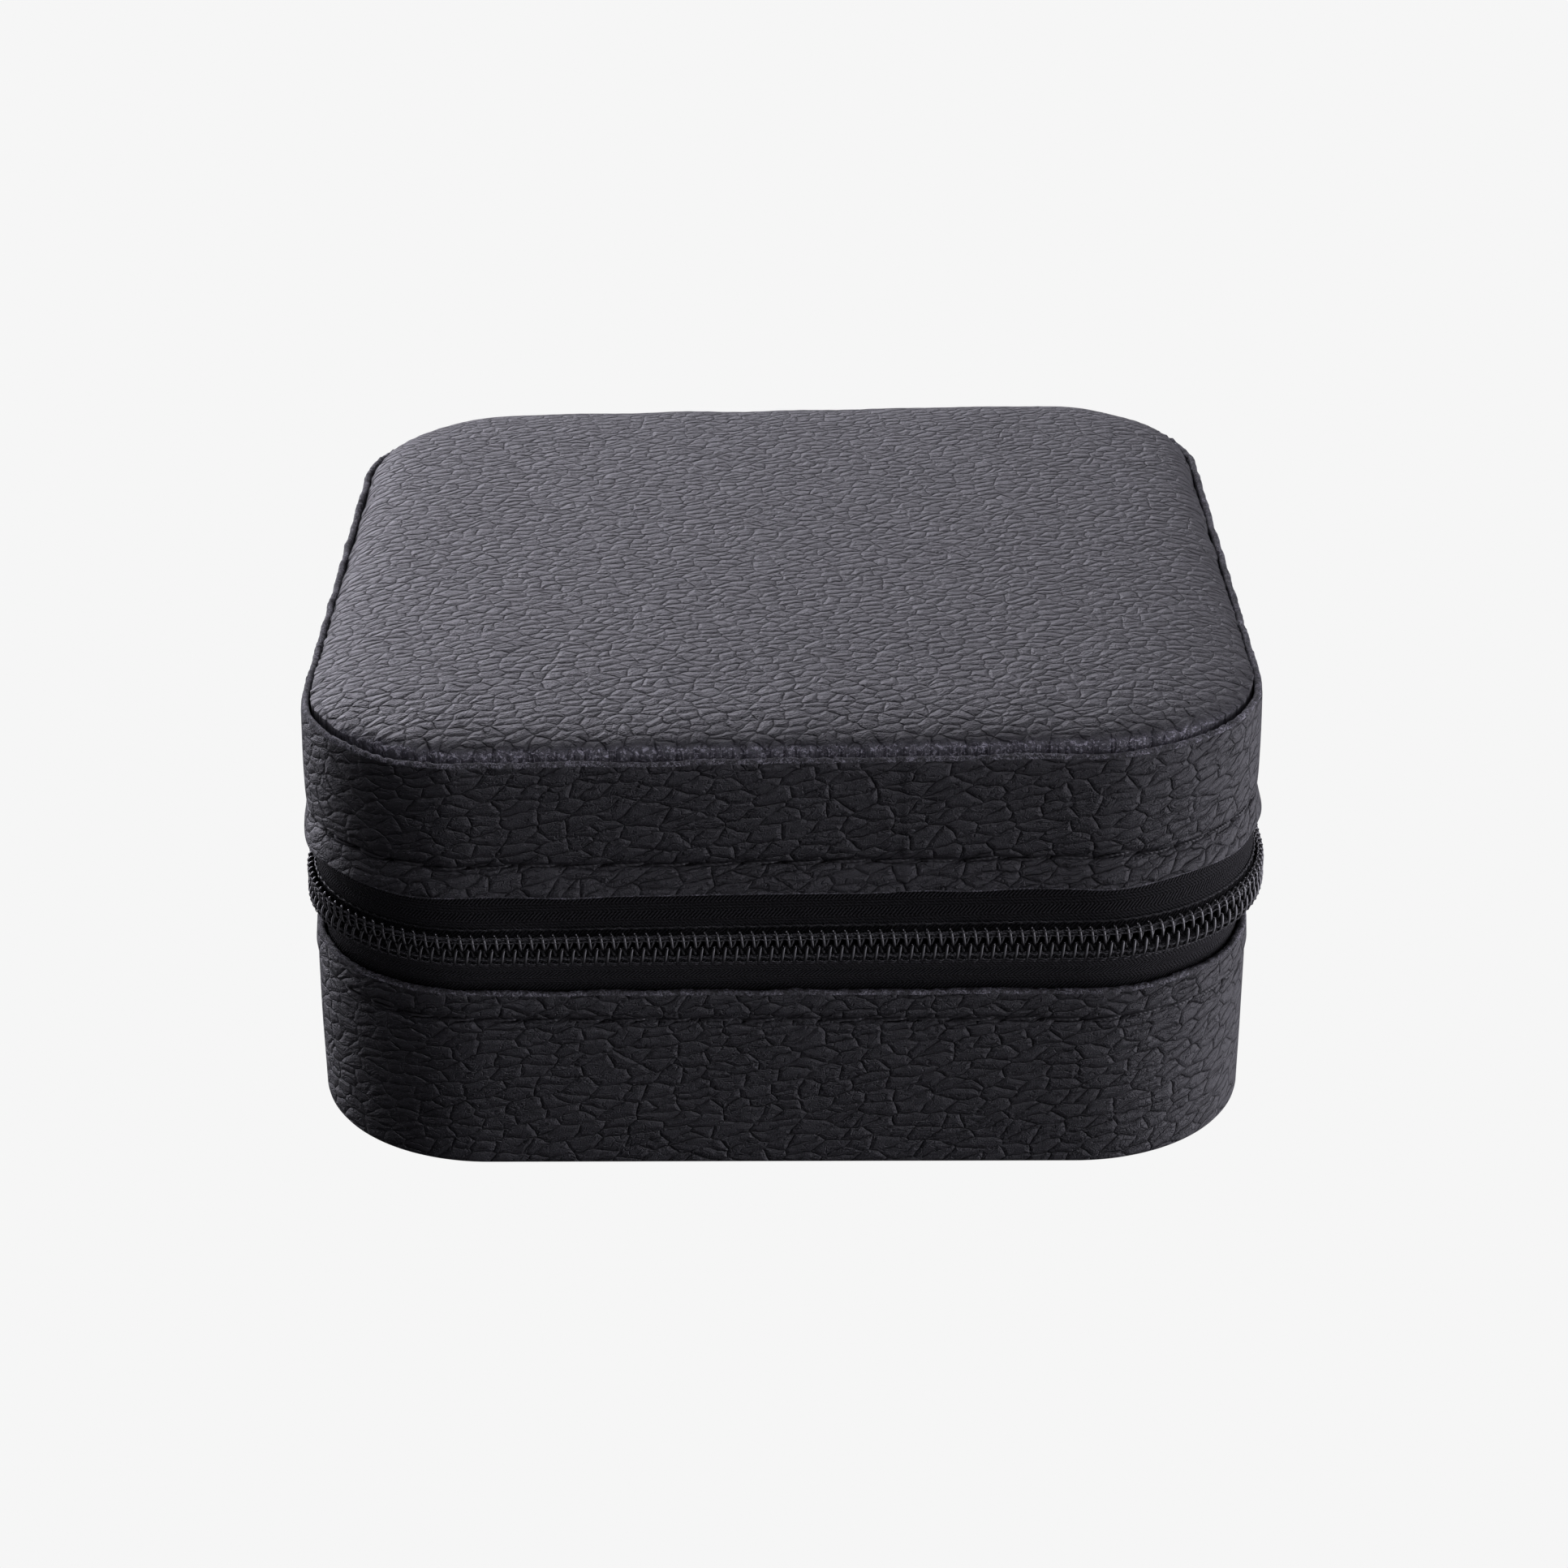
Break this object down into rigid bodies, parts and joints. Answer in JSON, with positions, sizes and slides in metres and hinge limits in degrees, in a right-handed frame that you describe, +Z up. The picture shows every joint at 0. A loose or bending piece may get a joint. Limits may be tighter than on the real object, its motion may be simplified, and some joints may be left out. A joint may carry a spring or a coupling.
{
  "type": "jewellery case",
  "caption": "Zip-round leather jewellery case with a padded hinged lid, ring rolls, lift-out dividers, necklace tabs and a lid pocket.",
  "frame": {"origin": "the middle of the flat bottom face that the case stands on", "axes": "+X to the case's right seen from the front, +Y to the hinge at the back, +Z up"},
  "size_m": [0.103, 0.1066, 0.0502],
  "materials": {
    "black_leather": "satin",
    "lining_leather": "satin",
    "thread": "matte",
    "grey_board": "matte",
    "foam": "matte",
    "velvet": "matte",
    "velvet_roll": "matte",
    "zip_tape": "matte",
    "nylon_coil": "satin",
    "pocket_satin": "satin",
    "dark_nickel": "polished"
  },
  "bodies": {
    "base": {"base_bottom_cover": "black_leather", "base_side_cover": "black_leather", "base_stitching": "thread", "base_board_shell": "grey_board", "base_wall_lining": "velvet", "base_floor_lining": "velvet", "lower_zip_tape": "zip_tape", "lower_zip_coil": "nylon_coil", "tray_partition": "velvet", "spine_cover": "black_leather", "spine_lining": "velvet", "ring_roll_1": "velvet_roll", "ring_roll_2": "velvet_roll", "ring_roll_3": "velvet_roll", "ring_roll_4": "velvet_roll", "ring_roll_5": "velvet_roll", "ring_roll_6": "velvet_roll"},
    "lid": {"lid_side_cover": "black_leather", "lid_top_cover": "black_leather", "lid_stitching": "thread", "lid_board_shell": "grey_board", "lid_top_board": "grey_board", "lid_top_foam": "foam", "lid_wall_lining": "velvet", "lid_ceiling_lining": "velvet", "lid_pocket": "pocket_satin", "upper_zip_tape": "zip_tape", "upper_zip_coil": "nylon_coil", "pocket_elastic": "pocket_satin", "tab_anchor_strip": "lining_leather", "snap_studs": "dark_nickel"},
    "slider": {"zip_slider": "dark_nickel"},
    "pull": {"zip_pull": "dark_nickel"},
    "tab_left": {"necklace_tab_left": "lining_leather", "snap_cap_left": "dark_nickel"},
    "tab_centre": {"necklace_tab_centre": "lining_leather", "snap_cap_centre": "dark_nickel"},
    "tab_right": {"necklace_tab_right": "lining_leather", "snap_cap_right": "dark_nickel"},
    "divider_front_lift": {"divider_front": "velvet"},
    "divider_rear_lift": {"divider_rear": "velvet"}
  },
  "joints": [
    {"name": "lid_hinge", "type": "hinge", "parent": "base", "child": "lid", "pos_m": [0, 0.0506, 0.02695], "axis": [-1, 0, 0], "range_deg": [0, 110], "deforming": ["upper_zip_tape", "upper_zip_coil", "spine_cover", "spine_lining"]},
    {"name": "zip_travel", "type": "hinge", "parent": "base", "child": "slider", "pos_m": [0.031, 0.031, 0.0266], "axis": [0, 0, -1], "range_deg": [0, 90]},
    {"name": "pull_swing", "type": "hinge", "parent": "slider", "child": "pull", "pos_m": [0.031, 0.054, 0.0266], "axis": [1, 0, 0], "range_deg": [-8, 150]},
    {"name": "tab_left_fold", "type": "hinge", "parent": "lid", "child": "tab_left", "pos_m": [-0.024, -0.036, 0.0399], "axis": [-1, 0, 0], "range_deg": [0, 100]},
    {"name": "tab_centre_fold", "type": "hinge", "parent": "lid", "child": "tab_centre", "pos_m": [0, -0.036, 0.0399], "axis": [-1, 0, 0], "range_deg": [0, 100]},
    {"name": "tab_right_fold", "type": "hinge", "parent": "lid", "child": "tab_right", "pos_m": [0.024, -0.036, 0.0399], "axis": [-1, 0, 0], "range_deg": [0, 100]},
    {"name": "divider_front_out", "type": "slide", "parent": "base", "child": "divider_front_lift", "axis": [0, 0, 1], "range_m": [0, 0.0183]},
    {"name": "divider_rear_out", "type": "slide", "parent": "base", "child": "divider_rear_lift", "axis": [0, 0, 1], "range_m": [0, 0.0183]}
  ]
}
